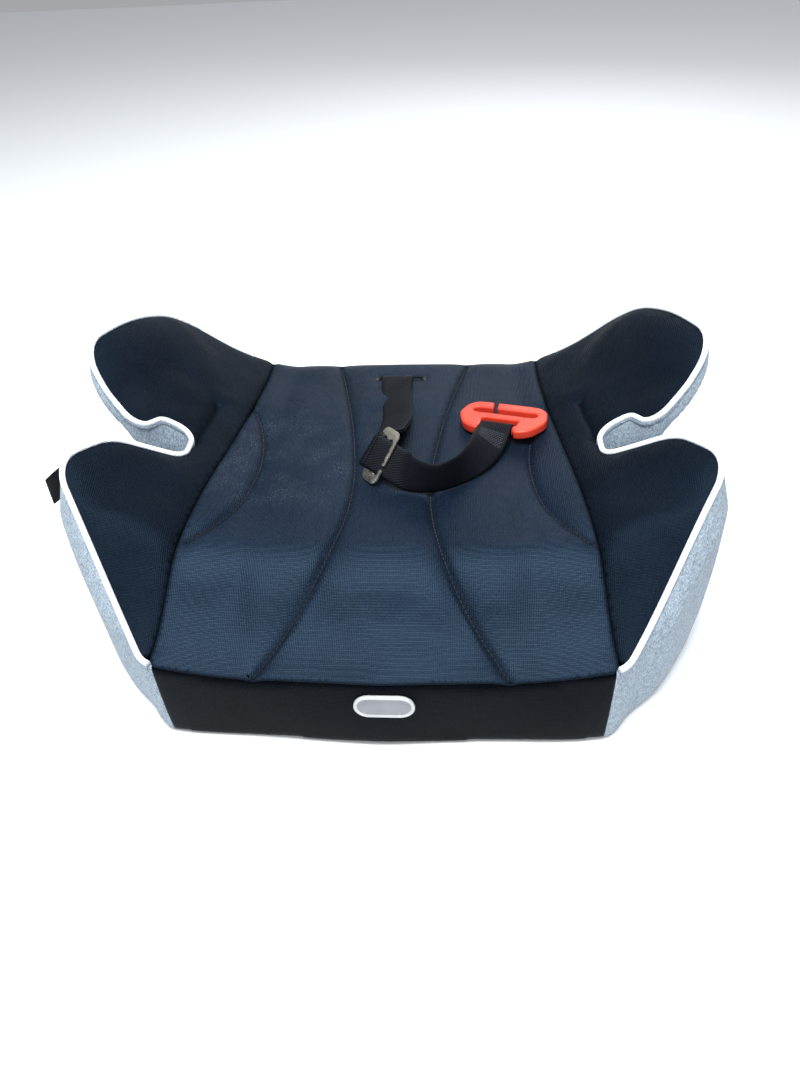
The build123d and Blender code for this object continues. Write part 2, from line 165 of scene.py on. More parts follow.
# ---- materials ------------------------------------------------------------------------------
class Shader:
    """A small helper that adds nodes and links them in one call."""

    def __init__(self, name):
        self.material = bpy.data.materials.new(name)
        self.material.use_nodes = True
        self.tree = self.material.node_tree
        self.principled = self.tree.nodes["Principled BSDF"]
        self.where = self.add("ShaderNodeTexCoord").outputs["Object"]

    def add(self, kind, **inputs):
        node = self.tree.nodes.new(kind)
        for key, value in inputs.items():
            self.put(node, key.replace("_", " "), value)
        return node

    def put(self, node, key, value):
        socket = node.inputs[int(key)] if key.strip().isdigit() else node.inputs[key]
        if isinstance(value, bpy.types.NodeSocket):
            self.tree.links.new(value, socket)
        else:
            socket.default_value = value

    def base(self, **values):
        for key, value in values.items():
            self.put(self.principled, key.replace("_", " "), value)

    def noise(self, scale, detail=2.0, vector=None, rough=0.5):
        node = self.add("ShaderNodeTexNoise", Scale=scale, Detail=detail, Roughness=rough)
        self.tree.links.new(vector or self.where, node.inputs["Vector"])
        return node.outputs["Fac"]

    def stretch(self, scale, turn=(0.0, 0.0, 0.0), vector=None):
        node = self.add("ShaderNodeMapping")
        node.inputs["Scale"].default_value = scale
        node.inputs["Rotation"].default_value = turn
        self.tree.links.new(vector or self.where, node.inputs["Vector"])
        return node.outputs["Vector"]

    def wave(self, pitch, turn, vector=None, distort=0.0):
        """Parallel ridges pitch metres apart, their direction given by turn."""
        node = self.add("ShaderNodeTexWave", Scale=1.0, Distortion=distort)
        node.bands_direction = "X"
        size = math.pi / (10.0 * pitch)
        self.tree.links.new(self.stretch((size, size, size), turn, vector), node.inputs["Vector"])
        return node.outputs["Fac"]

    def math(self, operation, a, b=0.0):
        node = self.add("ShaderNodeMath")
        node.operation = operation
        self.put(node, "0", a)
        self.put(node, "1", b)
        return node.outputs[0]

    def ramp(self, value, low, high, start, end):
        node = self.add("ShaderNodeMapRange")
        for key, item in (("Value", value), ("From Min", low), ("From Max", high),
                          ("To Min", start), ("To Max", end)):
            self.put(node, key, item)
        return node.outputs["Result"]

    def blend(self, share, first, second):
        node = self.add("ShaderNodeMix")
        node.data_type = "RGBA"
        self.put(node, "0", share)
        for socket, value in ((node.inputs[6], first), (node.inputs[7], second)):
            if isinstance(value, bpy.types.NodeSocket):
                self.tree.links.new(value, socket)
            else:
                socket.default_value = (*value, 1.0)
        return node.outputs[2]

    def bump(self, height, distance, strength=1.0):
        node = self.add("ShaderNodeBump", Height=height, Distance=distance, Strength=strength)
        before = self.principled.inputs["Normal"]
        if before.links:
            self.tree.links.new(before.links[0].from_socket, node.inputs["Normal"])
        self.tree.links.new(node.outputs["Normal"], before)


def knit_material(name, dark, light, lint, gloss):
    """Fine knitted polyester: small ribs both ways, soft sheen, faint blotches and lint."""
    s = Shader(name)
    across = s.wave(0.0011, (0.0, 0.0, 0.0), distort=0.6)
    along = s.wave(0.0013, (0.0, 0.0, math.pi / 2), distort=0.6)
    upright = s.wave(0.0012, (0.0, math.pi / 2, 0.0), distort=0.6)
    loops = s.math("MULTIPLY", across, s.math("MAXIMUM", along, upright))
    blotch = s.noise(18.0, 4.0)
    grain = s.ramp(s.noise(1100.0, 2.0), 0.3, 0.7, -0.45, 0.75)
    tone = s.math("ADD", s.math("MULTIPLY", loops, 0.3), s.ramp(blotch, 0.35, 0.7, 0.1, 0.5))
    tone = s.math("ADD", tone, grain)
    colour = s.blend(tone, dark, light)
    near = s.add("ShaderNodeVectorMath", **{"1": (-0.085, 0.0, 0.1)})
    near.operation = "DISTANCE"
    s.tree.links.new(s.where, near.inputs[0])
    rubbed = s.ramp(near.outputs["Value"], 0.03, 0.085, 1.0, 0.0)
    patches = s.math("MULTIPLY", rubbed, s.ramp(s.noise(55.0, 4.0), 0.42, 0.62, 0.0, 1.0))
    flecks = s.math("MULTIPLY", s.ramp(s.noise(1500.0, 1.0), 0.58, 0.76, 0.0, lint), patches)
    # Painted shade: the attribute that sew() stores darkens the colour nearly to black along the seams and
    # quilting grooves, where shade would fall; it also makes them rougher.
    crease_shade = s.add("ShaderNodeAttribute")
    crease_shade.attribute_name = "crease_shade"
    colour = s.blend(flecks, colour, (0.22, 0.26, 0.31))
    s.base(Base_Color=s.blend(crease_shade.outputs["Fac"], colour, (0.0006, 0.0008, 0.0012)))
    s.base(Roughness=s.ramp(crease_shade.outputs["Fac"], 0.0, 1.0, 0.5, 0.95))
    s.base(Specular_IOR_Level=gloss, Specular_Tint=(0.42, 0.68, 1.0, 1.0))
    s.bump(loops, 0.00025, 0.6)
    s.bump(s.noise(60.0, 3.0), 0.0012, 0.25)
    return s.material


def heather_material(name, dark, light):
    """Heather-grey woven cloth: mixed light and dark yarns with a visible grain."""
    s = Shader(name)
    yarn = s.noise(1300.0, 2.0, s.stretch((1.0, 1.0, 0.45)))
    cloudy = s.noise(300.0, 3.0)
    mixed = s.math("ADD", s.ramp(yarn, 0.35, 0.65, 0.0, 0.75), s.ramp(cloudy, 0.35, 0.65, 0.0, 0.25))
    s.base(Base_Color=s.blend(mixed, dark, light), Roughness=0.9)
    s.base(Sheen_Weight=0.1, Sheen_Roughness=0.5, Specular_IOR_Level=0.2)
    ribs = s.math("MULTIPLY", s.wave(0.0012, (0, 0, 0.785), distort=0.8),
                  s.wave(0.0012, (0, math.pi / 2, 0)))
    s.bump(s.math("ADD", ribs, yarn), 0.0003, 0.6)
    s.bump(s.noise(40.0, 2.0), 0.0015, 0.2)
    return s.material


def cord_material(name, colour, shade):
    """Piping: a satin tape pulled round a cord, with a faint slant from the cord inside."""
    s = Shader(name)
    twist = s.wave(0.0016, (0.4, 0.5, 0.785))
    tone = s.math("ADD", s.math("MULTIPLY", twist, 0.3), s.ramp(s.noise(55.0, 3.0), 0.3, 0.7, 0.0, 0.7))
    s.base(Base_Color=s.blend(tone, shade, colour), Roughness=0.6, Sheen_Weight=0.15)
    s.bump(twist, 0.0002, 0.5)
    s.bump(s.noise(120.0, 2.0), 0.0006, 0.3)
    return s.material


def webbing_material(name, dark, light, twill=0.0016):
    """Webbing, from the ribbon's own UV in metres: slanting twill ribs and fine cross threads."""
    s = Shader(name)
    uv = s.add("ShaderNodeTexCoord").outputs["UV"]
    slant = s.wave(twill, (0.0, 0.0, 0.95), uv)
    thread = s.wave(0.0007, (0.0, 0.0, math.pi / 2), uv)
    weave = s.math("ADD", s.math("MULTIPLY", slant, 0.75), s.math("MULTIPLY", thread, 0.25))
    worn = s.ramp(s.noise(38.0, 4.0), 0.4, 0.7, 0.0, 0.5)
    tone = s.math("ADD", s.math("MULTIPLY", weave, 0.55), worn)
    s.base(Base_Color=s.blend(tone, dark, light), Roughness=0.48, Specular_IOR_Level=0.12)
    s.bump(weave, 0.0003, 0.8)
    return s.material


def plastic_material(name, colour, shade, rough, grain=0.0, coat=0.0):
    s = Shader(name)
    tone = s.ramp(s.noise(45.0, 3.0), 0.35, 0.7, 0.0, 1.0)
    s.base(Base_Color=s.blend(tone, shade, colour))
    s.base(Roughness=s.ramp(s.noise(90.0, 4.0), 0.3, 0.7, rough - 0.05, rough + 0.08))
    s.base(Coat_Weight=coat, Coat_Roughness=0.25)
    s.bump(s.noise(700.0, 2.0), 0.00012, 0.3 + grain)
    return s.material


def metal_material(name, colour, shade, rough):
    s = Shader(name)
    tone = s.ramp(s.noise(160.0, 3.0), 0.35, 0.65, 0.0, 1.0)
    s.base(Base_Color=s.blend(tone, shade, colour), Metallic=1.0)
    s.base(Roughness=s.ramp(s.noise(300.0, 3.0), 0.3, 0.7, rough - 0.06, rough + 0.12))
    s.bump(s.noise(900.0, 2.0, s.stretch((1.0, 0.15, 1.0))), 0.00006, 0.3)
    return s.material


BLACK_KNIT = knit_material("black_knit", (0.0008, 0.0020, 0.0048), (0.0060, 0.0130, 0.0280), 0.5, 0.32)
SIDE_KNIT = knit_material("side_knit", (0.0006, 0.0014, 0.0030), (0.0038, 0.0074, 0.0140), 0.0, 0.12)
WALL_KNIT = knit_material("wall_knit", (0.0004, 0.0005, 0.0008), (0.0022, 0.0026, 0.0038), 0.0, 0.05)
GREY_HEATHER = heather_material("grey_heather", (0.15, 0.19, 0.23), (0.42, 0.50, 0.575))
WHITE_PIPING = cord_material("white_piping", (0.93, 0.97, 1.0), (0.80, 0.88, 0.97))
BLACK_WEBBING = webbing_material("black_webbing", (0.0016, 0.002, 0.0035), (0.007, 0.009, 0.014))
BLACK_TAPE = webbing_material("black_tape", (0.0025, 0.003, 0.004), (0.008, 0.009, 0.012), 0.0011)
THREAD = cord_material("black_thread", (0.0035, 0.006, 0.011), (0.0015, 0.0025, 0.005))
GREY_THREAD = cord_material("grey_thread", (0.03, 0.036, 0.05), (0.012, 0.015, 0.022))
CLIP_RED = plastic_material("clip_red", (0.80, 0.062, 0.03), (0.66, 0.042, 0.02), 0.4, 0.1, 0.05)
PALE_NICKEL = metal_material("pale_nickel", (0.83, 0.79, 0.68), (0.62, 0.57, 0.45), 0.3)
STEEL = metal_material("steel", (0.62, 0.62, 0.64), (0.48, 0.48, 0.5), 0.35)
HULL_BLACK = plastic_material("hull_black", (0.02, 0.02, 0.023), (0.012, 0.012, 0.014), 0.5, 0.4)
HOOK_BLACK = plastic_material("hook_black", (0.03, 0.03, 0.032), (0.018, 0.018, 0.02), 0.42)
BADGE_GREY = plastic_material("badge_grey", (0.30, 0.31, 0.33), (0.22, 0.23, 0.25), 0.45)
BADGE_RIM = plastic_material("badge_rim", (0.62, 0.63, 0.64), (0.5, 0.51, 0.52), 0.38)


# ---- outlines -------------------------------------------------------------------------------
LOBE = [
    (0, -172, 0),
    (141, -166, 14),
    (204, -73, 22),
    (181, -38, 30),
    (141, -24, 13),
]
HORN = [
    (141, 8, 13),
    (163, 7, 8),
    (174, -16, 7),
    (208, 27, 32),
    (172, 119, 30),
    (136, 128, 40),
]
REAR = [
    (88, 146, 60),
    (0, 147, 0),
]


def rounded(points, step=2.5):
    """The corner list as a dense line of points, each corner turned by an arc of its radius."""
    line = []
    last = len(points) - 1
    for i, (x, y, radius) in enumerate(points):
        here = np.array((x, y), float)
        if radius == 0 or i in (0, last):
            line.append(here)
            continue
        back = np.array(points[i - 1][:2], float) - here
        ahead = np.array(points[i + 1][:2], float) - here
        back /= np.linalg.norm(back)
        ahead /= np.linalg.norm(ahead)
        half = math.acos(np.clip(back @ ahead, -1, 1)) / 2
        middle = back + ahead
        middle /= np.linalg.norm(middle)
        centre = here + middle * radius / math.sin(half)
        start = here + back * radius / math.tan(half)
        sweep = math.pi - 2 * half
        sign = np.sign(back[0] * ahead[1] - back[1] * ahead[0]) * -1
        steps = max(2, int(radius * sweep / step) + 1)
        arm = start - centre
        for k in range(steps + 1):
            turn = sign * sweep * k / steps
            c, s = math.cos(turn), math.sin(turn)
            line.append(centre + np.array((c * arm[0] - s * arm[1], s * arm[0] + c * arm[1])))
    return np.array(line)


def resample(line, step, closed=False):
    """The same line with points a step apart."""
    if closed:
        line = np.vstack([line, line[:1]])
    lengths = np.r_[0.0, np.cumsum(np.linalg.norm(np.diff(line, axis=0), axis=1))]
    count = max(2, int(round(lengths[-1] / step)))
    places = np.linspace(0, lengths[-1], count + 1)
    out = np.stack([np.interp(places, lengths, line[:, k]) for k in range(line.shape[1])], axis=1)
    return out[:-1] if closed else out


def side_normals(line, closed=False):
    """Unit normals to the right of travel, in plan."""
    if closed:
        run = np.roll(line, -1, axis=0) - np.roll(line, 1, axis=0)
    else:
        run = np.gradient(line, axis=0)
    run = run / np.maximum(np.linalg.norm(run, axis=1, keepdims=True), 1e-9)
    return np.stack([run[:, 1], -run[:, 0]], axis=1)


def flare(line):
    """The cover stands out from the pad along the outer sides of the horns."""
    x, y = line[:, 0], line[:, 1]
    out = HORN_FLARE * ease(150, 196, x) * ease(-16, 6, y) * (1.0 - ease(96, 132, y))
    return np.column_stack([x + out, y - 0.25 * out])


def mirrored_loop(half):
    """A closed loop, counter-clockwise, from its right half that starts and ends on the Y axis."""
    left = half[1:-1][::-1] * np.array((-1.0, 1.0))
    return np.vstack([half, left])


full_half = flare(resample(rounded(LOBE + HORN + REAR), OUTLINE_STEP))
base_half = resample(rounded(LOBE + [(140, 126.5, 20)] + REAR), OUTLINE_STEP)
full_loop = mirrored_loop(full_half)
base_loop = mirrored_loop(base_half)

# side seam of the cover: x as a smooth function of y
SEAM_FIT = np.polyfit((-190, -103, 5, 75, 165), (143, 132, 120, 112, 114), 4)


def seam_x(y):
    return np.polyval(SEAM_FIT, y)


def smooth_line(points):
    """A Catmull-Rom curve through a few points."""
    p = np.array(points, float)
    p = np.vstack([2 * p[0] - p[1], p, 2 * p[-1] - p[-2]])
    out = []
    for i in range(1, len(p) - 2):
        for t in np.linspace(0, 1, 16, endpoint=False):
            a = 2 * p[i]
            b = (p[i + 1] - p[i - 1]) * t
            c = (2 * p[i - 1] - 5 * p[i] + 4 * p[i + 1] - p[i + 2]) * t ** 2
            d = (-p[i - 1] + 3 * p[i] - 3 * p[i + 1] + p[i + 2]) * t ** 3
            out.append((a + b + c + d) / 2)
    out.append(p[-2])
    return resample(np.array(out), OUTLINE_STEP)


# quilting of the centre panel: two waisted lines front to back, and an arc at each side seam
waist = smooth_line([(76, -168), (45, -119), (31, -74), (27, -20), (34, 45), (45, 104), (54, 145)])
side_arc = smooth_line([(112.5, 63), (101, 32), (96.5, -4), (101, -45), (113, -74), (130, -97)])
# a short dart from the inner end of each belt notch up into the horn
dart = smooth_line([(141.5, -3), (140, 12), (137, 30), (136, 44)])


def flip(line):
    return line * np.array((-1.0, 1.0))


def of_side(loop, sign):
    """The right side's loop for either side, still counter-clockwise."""
    return loop if sign > 0 else flip(loop)[::-1]


def closed_line(loop):
    """The loop with its first point again at its end."""
    return np.vstack([loop, loop[:1]])


# ---- mesh helpers ---------------------------------------------------------------------------
def inside(points, loop):
    """Which points lie inside the closed loop."""
    x, y = points[:, 0], points[:, 1]
    hit = np.zeros(len(points), bool)
    for (ax, ay), (bx, by) in zip(loop, np.roll(loop, -1, axis=0)):
        crosses = (ay > y) != (by > y)
        with np.errstate(divide="ignore", invalid="ignore"):
            at = (bx - ax) * (y - ay) / (by - ay) + ax
        hit ^= crosses & (x < at)
    return hit


def distance_to(points, line):
    """Distance from each point to a line of short runs."""
    best = np.full(len(points), 1e9)
    for a, b in zip(line[:-1], line[1:]):
        run = b - a
        t = np.clip((points - a) @ run / max(run @ run, 1e-9), 0, 1)
        gap = np.linalg.norm(points - (a + t[:, None] * run), axis=1)
        best = np.minimum(best, gap)
    return best


def kept_off(line, loop):
    """The part of the line that lies in the loop and keeps off its edge."""
    return line[inside(line, loop) & (distance_to(line, closed_line(loop)) > 1.5)]


def make_object(name, points, faces, material=None):
    mesh = bpy.data.meshes.new(name)
    mesh.from_pydata([tuple(float(v) * MM for v in p) for p in points], [], faces)
    mesh.update()
    thing = bpy.data.objects.new(name, mesh)
    bpy.context.scene.collection.objects.link(thing)
    if material:
        mesh.materials.append(material)
    shade_smooth(thing)
    return thing


def flat_panel(loop, lines, spacing):
    """Triangles that fill a loop in plan, with edges along the given lines."""
    points = list(loop)
    edges = [(i, (i + 1) % len(loop)) for i in range(len(loop))]
    for line in lines:
        first = len(points)
        points.extend(line)
        edges.extend((first + i, first + i + 1) for i in range(len(line) - 1))
    low, high = loop.min(axis=0), loop.max(axis=0)
    grid = []
    shift = 0.0
    y = low[1]
    while y < high[1]:
        grid.extend((x, y) for x in np.arange(low[0] + shift, high[0], spacing))
        y += spacing * 0.866
        shift = spacing / 2 - shift
    grid = np.array(grid)
    keep = inside(grid, loop)
    keep &= distance_to(grid, closed_line(loop)) > spacing * 0.55
    for line in lines:
        keep &= distance_to(grid, line) > spacing * 0.55
    points.extend(grid[keep])
    result = delaunay_2d_cdt([Vector(p) for p in points], edges, [], 0, 1e-4)
    plan = np.array([tuple(v) for v in result[0]])
    faces = np.array([tuple(f) for f in result[2] if len(f) == 3])
    middles = plan[faces].mean(axis=1)
    faces = faces[inside(middles, loop)]
    used = np.unique(faces)
    index = np.full(len(plan), -1)
    index[used] = np.arange(len(used))
    return plan[used], index[faces]


def apply_modifiers(thing):
    graph = bpy.context.evaluated_depsgraph_get()
    mesh = bpy.data.meshes.new_from_object(thing.evaluated_get(graph))
    old = thing.data
    thing.modifiers.clear()
    thing.data = mesh
    mesh.name = thing.name
    bpy.data.meshes.remove(old)


def points_of(mesh):
    co = np.zeros(len(mesh.vertices) * 3, np.float32)
    mesh.vertices.foreach_get("co", co)
    return co.reshape(-1, 3).astype(float)


def move_points(mesh, places):
    mesh.vertices.foreach_set("co", places.astype(np.float32).ravel())
    mesh.update()


def inflate(thing, pinned, cap, pressure):
    """Cloth under pressure, held at its seams, then moved no further than the cap."""
    rest = points_of(thing.data)
    group = thing.vertex_groups.new(name="seams")
    group.add([int(i) for i in pinned], 1.0, "REPLACE")
    cloth = thing.modifiers.new("cloth", "CLOTH")
    settings = cloth.settings
    settings.vertex_group_mass = "seams"
    settings.quality = 6
    settings.mass = 0.25
    settings.tension_stiffness = 12.0
    settings.compression_stiffness = 12.0
    settings.shear_stiffness = 6.0
    settings.bending_stiffness = 0.8
    settings.use_pressure = True
    settings.uniform_pressure_force = pressure
    settings.effector_weights.gravity = 0.0
    settings.shrink_min = -0.03
    cloth.collision_settings.use_collision = False
    cloth.point_cache.frame_start = 1
    cloth.point_cache.frame_end = CLOTH_FRAMES
    for number in range(1, CLOTH_FRAMES + 1):
        bpy.context.scene.frame_set(number)
    apply_modifiers(thing)
    bpy.context.scene.frame_set(1)
    moved = points_of(thing.data) - rest
    # the filling only pushes the cloth outwards, and evens out its smallest wrinkles
    moved[:, 2] = np.maximum(moved[:, 2], 0.0)
    raw = moved.copy()
    edges = np.zeros(len(thing.data.edges) * 2, np.int32)
    thing.data.edges.foreach_get("vertices", edges)
    edges = edges.reshape(-1, 2)
    count = np.bincount(edges.ravel(), minlength=len(rest))[:, None]
    for _ in range(10):
        near = np.zeros_like(moved)
        np.add.at(near, edges[:, 0], moved[edges[:, 1]])
        np.add.at(near, edges[:, 1], moved[edges[:, 0]])
        moved = 0.4 * moved + 0.6 * near / np.maximum(count, 1)
        moved[pinned] = 0.0
    moved = 0.85 * moved + 0.15 * raw
    length = np.linalg.norm(moved, axis=1, keepdims=True)
    limit = cap * MM
    moved *= limit * np.tanh(length / limit) / np.maximum(length, 1e-9)
    move_points(thing.data, rest + moved)


def solidify(thing, thickness, offset=-1.0):
    skin = thing.modifiers.new("thickness", "SOLIDIFY")
    skin.thickness = thickness * MM
    skin.offset = offset
    apply_modifiers(thing)


def relax(thing, times, factor=0.5):
    smooth = thing.modifiers.new("smooth", "SMOOTH")
    smooth.iterations = times
    smooth.factor = factor
    apply_modifiers(thing)


def shade_smooth(thing):
    thing.data.polygons.foreach_set("use_smooth", [True] * len(thing.data.polygons))


def dress(thing, material):
    """One material on the whole mesh."""
    thing.data.materials.clear()
    thing.data.materials.append(material)


def belong(thing, body, slot, *stands_for):
    """Tells the frame what a piece is: the body it moves with, and its CAD nodes, which it hides. The
    material slot is not used.
    """
    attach(thing, body)
    if stands_for:
        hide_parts(*stands_for)


def drop(thing):
    """Removes a helper object with its mesh."""
    mesh = thing.data
    bpy.data.objects.remove(thing)
    bpy.data.meshes.remove(mesh)


def ring_faces(rows, sides, first=0, wrap=False):
    """Quads between neighbouring rings of points, every ring with the same number of sides."""
    faces = []
    for i in range(rows if wrap else rows - 1):
        a, b = first + i * sides, first + (i + 1) % rows * sides
        for k in range(sides):
            nxt = (k + 1) % sides
            faces.append((a + k, a + nxt, b + nxt, b + k))
    return faces


# ---- cover: top panels ----------------------------------------------------------------------
def pad_height(plan, loop, lines):
    """Height of the stuffed cover before simulation: seams low, the rest slightly crowned."""
    edge = distance_to(plan, closed_line(loop))
    crown = 1.0 - np.exp(-edge / 7.0)
    height = seat_z(plan[:, 0], plan[:, 1]) - SEAM_DIP + (SEAM_DIP + 1.2) * crown
    for line in lines:
        height -= QUILT_DIP * np.exp(-distance_to(plan, line) / 4.0)
    return height


def sew(thing, lines, rim):
    """Draws the stuffed cover down along its stitching and stores a painted-shade mask for the material,
    dark in the stitched grooves and at the panel's rim.
    """
    place = points_of(thing.data) / MM
    gap = np.full(len(place), 1e9)
    for line in lines:
        gap = np.minimum(gap, distance_to(place[:, :2], line))
    place[:, 2] -= 1.3 * np.exp(-(gap / 1.5) ** 2) + 0.9 * np.exp(-gap / 6.0)
    move_points(thing.data, place * MM)
    edge = distance_to(place[:, :2], rim)
    # Painted shade: strongest along the stitching and at the rim, where the grooves lie in shade; the knit
    # material darkens its colour by it.
    dark = np.maximum(0.9 * np.exp(-(gap / 1.3) ** 2), 0.8 * np.exp(-(edge / 1.3) ** 2))
    shade_layer = thing.data.attributes.new("crease_shade", "FLOAT", "POINT")
    shade_layer.data.foreach_set("value", dark.astype(np.float32))
    thing.data.update()


def padded_panel(name, loop, lines, stands_for, material, pressure, spacing=4.0):
    plan, faces = flat_panel(loop, lines, spacing)
    height = pad_height(plan, loop, lines)
    thing = make_object(name, np.column_stack([plan, height]), faces.tolist())
    edge = distance_to(plan, closed_line(loop))
    for line in lines:
        edge = np.minimum(edge, distance_to(plan, line))
    inflate(thing, np.nonzero(edge < 0.4)[0], PAD_RISE, pressure)
    fine = thing.modifiers.new("fine", "SUBSURF")
    fine.levels = 1
    fine.render_levels = 1
    fine.boundary_smooth = "PRESERVE_CORNERS"
    apply_modifiers(thing)
    sew(thing, lines, closed_line(loop))
    solidify(thing, COVER_CLOTH)
    dress(thing, material)
    shade_smooth(thing)
    belong(thing, "seat", "cover_black", *stands_for)
    return thing


front_y = full_half[:, 1] < -100
rear_y = full_half[:, 1] > 100
in_seam = full_half[:, 0] < seam_x(full_half[:, 1]) - 1.0
tucked = full_half + side_normals(full_half) * TUCK
tucked[[0, -1], 0] = 0.0
front_run = tucked[front_y & in_seam]
rear_run = tucked[rear_y & in_seam]
seam_line = resample(np.array([(seam_x(y), y) for y in np.linspace(-162.0, 136.0, 90)]), OUTLINE_STEP)
centre_half = np.vstack([front_run, seam_line, rear_run])
centre_loop = resample(mirrored_loop(centre_half), OUTLINE_STEP, closed=True)
slot_loop = np.array([
    (SLOT_X - SLOT_LENGTH / 2, SLOT_Y),
    (SLOT_X + SLOT_LENGTH / 2, SLOT_Y),
])
quilting = [waist, flip(waist), side_arc, flip(side_arc)]
inner_quilting = []
for line in quilting:
    inner_quilting.append(kept_off(line, centre_loop))
inner_quilting.append(resample(slot_loop, OUTLINE_STEP))
seat_panel = padded_panel("seat_panel", centre_loop, inner_quilting,
                          ("cover_seat_panel", "seat_foam"), BLACK_KNIT, 5.0)

outer = tucked[(full_half[:, 0] >= seam_x(full_half[:, 1]) + 1.0)]
side_half = np.vstack([outer, seam_line[::-1]])
side_loop = resample(side_half, OUTLINE_STEP, closed=True)
for side, sign in (("right", 1), ("left", -1)):
    loop = of_side(side_loop, sign)
    cut = dart * np.array((sign, 1.0))
    padded_panel("side_panel_" + side, loop, [kept_off(cut, loop)],
                 ("cover_side_panel_" + side, "side_foam_" + side), SIDE_KNIT, 6.0)


# ---- cover: walls ---------------------------------------------------------------------------
def grown(loop, amount):
    return loop + side_normals(loop, closed=True) * amount


def closed_prism(loop, low, high, spacing=7.0):
    """A closed solid over a loop in plan, between two height functions."""
    plan, faces = flat_panel(loop, [], spacing)
    count = len(plan)
    top = np.column_stack([plan, high(plan[:, 0], plan[:, 1])])
    bottom = np.column_stack([plan, low(plan[:, 0], plan[:, 1])])
    shell = [tuple(int(i) for i in f) for f in faces]
    shell += [tuple(int(i) + count for i in reversed(f)) for f in faces]
    once = {}
    for f in faces:
        for a, b in ((f[0], f[1]), (f[1], f[2]), (f[2], f[0])):
            key = (min(a, b), max(a, b))
            once[key] = None if key in once else (int(a), int(b))
    for pair in once.values():
        if pair:
            a, b = pair
            shell.append((b, a, a + count, b + count))
    return np.vstack([top, bottom]), shell


def wall_top(x, y):
    return seat_z(x, y) - WALL_SINK


def wall_block():
    """The covered body as one closed form, rounded by remeshing, before it is cut into panels."""
    points, faces = closed_prism(grown(base_loop, SKIRT - 0.5), lambda x, y: 0.6 + 0 * x, wall_top)
    horn_part = full_loop[(full_loop[:, 0] > 124) & (full_loop[:, 1] > -14)]
    horn_loop = np.vstack([horn_part, [(124, 132), (124, -14)]])
    horn_loop = grown(resample(horn_loop, OUTLINE_STEP, closed=True), SKIRT - 0.5)
    for sign in (1, -1):
        more, shell = closed_prism(of_side(horn_loop, sign), horn_floor_z, wall_top)
        shell = [tuple(i + len(points) for i in f) for f in shell]
        points = np.vstack([points, more])
        faces = faces + shell
    block = make_object("wall_block", points, faces)
    remesh = block.modifiers.new("remesh", "REMESH")
    remesh.mode = "VOXEL"
    remesh.voxel_size = WALL_VOXEL * MM
    apply_modifiers(block)
    relax(block, 5)
    return block


def swell_walls(block):
    """Pushes the walls out a little between the piping and the hem, most at the lobes."""
    place = points_of(block.data) / MM
    normals = np.zeros(len(block.data.vertices) * 3, np.float32)
    block.data.vertices.foreach_get("normal", normals)
    normals = normals.reshape(-1, 3)
    x, y, z = np.abs(place[:, 0]), place[:, 1], place[:, 2]
    share = np.clip(z / np.maximum(seat_z(x, y), 1.0), 0.0, 1.0)
    flank = np.clip(np.hypot(normals[:, 0], normals[:, 1]), 0, 1) ** 2
    fade = np.clip((1.0 - share) / 0.18, 0.0, 1.0)
    # the thigh lobes stand out like a bolster, down to the floor
    lobe = ease(150, 172, x) * ease(-165, -140, y) * (1.0 - ease(-66, -46, y))
    amount = LOBE_SWELL * lobe * np.clip(0.75 + share, 0.0, 1.0)
    # the front corners draw in towards the hem
    corner = np.exp(-((x - 140) / 20.0) ** 2 - ((y + 168) / 16.0) ** 2)
    amount -= CORNER_TUCK * corner * (1.0 - share)
    # the horns' outer sides hang over, deepest half way down
    horn = ease(150, 175, x) * ease(-14, 10, y) * (1.0 - ease(98, 128, y))
    depth = np.clip((seat_z(x, y) - z) / (seat_z(x, y) - horn_floor_z(x, y)), 0.0, 1.0)
    amount += HORN_SWELL * horn * np.sin(np.pi * depth) ** 0.8
    slack = np.sin(place[:, 0] * 0.045 + y * 0.06) * np.sin(z * 0.05 + 1.0)
    amount = (amount + 0.7 * slack + 0.8 * np.sin(np.pi * share)) * fade * flank
    place[:, 0] += normals[:, 0] * amount
    place[:, 1] += normals[:, 1] * amount
    move_points(block.data, place * MM)


def cut_piece(block, name, planes, keep, material, slot, stands_for):
    """A copy of the block cut by planes, keeping the faces that keep() picks."""
    mesh = block.data.copy()
    piece = bpy.data.objects.new(name, mesh)
    bpy.context.scene.collection.objects.link(piece)
    work = bmesh.new()
    work.from_mesh(mesh)
    for point, normal in planes:
        parts = work.verts[:] + work.edges[:] + work.faces[:]
        bmesh.ops.bisect_plane(work, geom=parts, plane_co=Vector(point) * MM, plane_no=Vector(normal))
    work.faces.ensure_lookup_table()
    centres = np.array([tuple(f.calc_center_median()) for f in work.faces]) / MM
    normals = np.array([tuple(f.normal) for f in work.faces])
    stay = is_wall(centres, normals) & keep(centres)
    bmesh.ops.delete(work, geom=[work.faces[int(i)] for i in np.nonzero(~stay)[0]], context="FACES")
    work.to_mesh(mesh)
    work.free()
    dress(piece, material)
    solidify(piece, WALL_CLOTH)
    shade_smooth(piece)
    belong(piece, "seat", slot, stands_for)
    return piece


def is_wall(centres, normals):
    """Not the hidden shelf under the pads, and not the floor side."""
    sole = (centres[:, 2] < 1.9) & (normals[:, 2] < -0.8)
    under_pad = inside(centres[:, :2], grown(full_loop, 0.4)) & (normals[:, 2] > 0.1)
    return ~sole & ~under_pad


def in_front(centres):
    return (np.abs(centres[:, 0]) < FRONT_X) & (centres[:, 1] < -120)


def in_rear(centres):
    return (np.abs(centres[:, 0]) < REAR_X) & (centres[:, 1] > 100)


def on_side(centres, sign):
    return (centres[:, 0] * sign > 0) & ~in_front(centres) & ~in_rear(centres)


